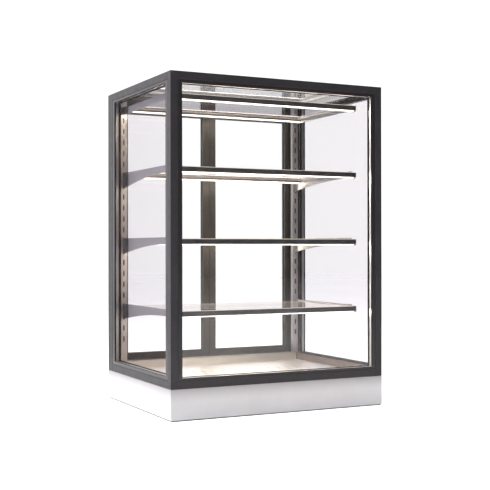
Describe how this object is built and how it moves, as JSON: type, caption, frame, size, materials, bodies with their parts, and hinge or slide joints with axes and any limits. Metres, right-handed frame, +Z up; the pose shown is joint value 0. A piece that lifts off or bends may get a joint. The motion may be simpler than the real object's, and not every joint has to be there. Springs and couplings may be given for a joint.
{
  "type": "countertop bakery display case",
  "caption": "Glazed countertop display cabinet with a black tube frame, rear hinged doors, hooked glass shelves, a lit canopy and a white plinth.",
  "frame": {"origin": "centre of the plinth's footprint, on the counter it stands on", "axes": "+Z up, +X to the right seen from the customer's side, +Y towards the rear doors"},
  "size_m": [0.64, 0.4875, 0.894],
  "materials": {
    "black_frame": "satin black powder coat",
    "door_frame": "satin brown-black powder coat",
    "plinth_paint": "fine-textured white-grey paint",
    "stainless": "brushed",
    "clear_glass": "clear, polished",
    "bright_spacer": "bright mill finish",
    "anodised": "silver anodised",
    "steel_rod": "ground",
    "bracket_grey": "light grey satin paint",
    "driver_case": "plain",
    "black_plastic": "moulded"
  },
  "bodies": {
    "case": {"plinth_shell": "plinth_paint", "deck_tray": "stainless", "vent_panel": "stainless", "top_front_rail": "black_frame", "top_rear_rail": "black_frame", "top_left_rail": "black_frame", "top_right_rail": "black_frame", "bottom_front_rail": "black_frame", "bottom_rear_rail": "black_frame", "bottom_left_rail": "black_frame", "bottom_right_rail": "black_frame", "front_left_post": "black_frame", "front_right_post": "black_frame", "rear_left_post": "black_frame", "rear_right_post": "black_frame", "front_outer_glass": "clear_glass", "front_inner_glass": "clear_glass", "front_glass_spacer": "bright_spacer", "left_outer_glass": "clear_glass", "left_inner_glass": "clear_glass", "left_glass_spacer": "bright_spacer", "right_outer_glass": "clear_glass", "right_inner_glass": "clear_glass", "right_glass_spacer": "bright_spacer", "top_outer_glass": "clear_glass", "top_inner_glass": "clear_glass", "top_glass_spacer": "bright_spacer", "left_upright": "anodised", "right_upright": "anodised", "left_door_pivot_rod": "steel_rod", "right_door_pivot_rod": "steel_rod", "led_driver": "driver_case", "fan_housing": "black_plastic", "power_inlet": "black_plastic"},
    "left_door": {"left_door_frame": "door_frame", "left_door_glass": "clear_glass"},
    "right_door": {"right_door_frame": "door_frame", "right_door_glass": "clear_glass"},
    "fan_rotor": {"fan_rotor": "black_plastic"},
    "rocker": {"rocker_switch": "black_plastic"},
    "shelf_1": {"shelf_1_front_profile": "black_frame", "shelf_1_glass": "clear_glass", "shelf_1_left_bracket": "bracket_grey", "shelf_1_right_bracket": "bracket_grey", "shelf_1_rear_crossbar": "anodised"},
    "shelf_2": {"shelf_2_front_profile": "black_frame", "shelf_2_glass": "clear_glass", "shelf_2_left_bracket": "bracket_grey", "shelf_2_right_bracket": "bracket_grey", "shelf_2_rear_crossbar": "anodised"},
    "shelf_3": {"shelf_3_front_profile": "black_frame", "shelf_3_glass": "clear_glass", "shelf_3_left_bracket": "bracket_grey", "shelf_3_right_bracket": "bracket_grey", "shelf_3_rear_crossbar": "anodised"},
    "canopy": {"canopy_front_profile": "black_frame", "canopy_glass": "clear_glass", "canopy_left_bracket": "bracket_grey", "canopy_right_bracket": "bracket_grey", "canopy_rear_crossbar": "anodised"}
  },
  "joints": [
    {"name": "left_door_hinge", "type": "hinge", "parent": "case", "child": "left_door", "pos_m": [-0.2805, 0.2375, 0.4862], "axis": [0, 0, 1], "range_deg": [0, 105]},
    {"name": "right_door_hinge", "type": "hinge", "parent": "case", "child": "right_door", "pos_m": [0.2805, 0.2375, 0.4862], "axis": [0, 0, -1], "range_deg": [0, 105]},
    {"name": "shelf_1_lift", "type": "slide", "parent": "case", "child": "shelf_1", "axis": [0, 0, 1], "range_m": [0, 0.008]},
    {"name": "shelf_2_lift", "type": "slide", "parent": "case", "child": "shelf_2", "axis": [0, 0, 1], "range_m": [0, 0.008]},
    {"name": "shelf_3_lift", "type": "slide", "parent": "case", "child": "shelf_3", "axis": [0, 0, 1], "range_m": [0, 0.008]},
    {"name": "canopy_lift", "type": "slide", "parent": "case", "child": "canopy", "axis": [0, 0, 1], "range_m": [0, 0.008]},
    {"name": "rocker_press", "type": "hinge", "parent": "case", "child": "rocker", "pos_m": [0.2, 0.238, 0.0525], "axis": [1, 0, 0], "range_deg": [-16, 0]},
    {"name": "fan_spin", "type": "hinge", "parent": "case", "child": "fan_rotor", "pos_m": [0, -0.055, 0.075], "axis": [0, 0, 1], "continuous": true}
  ]
}
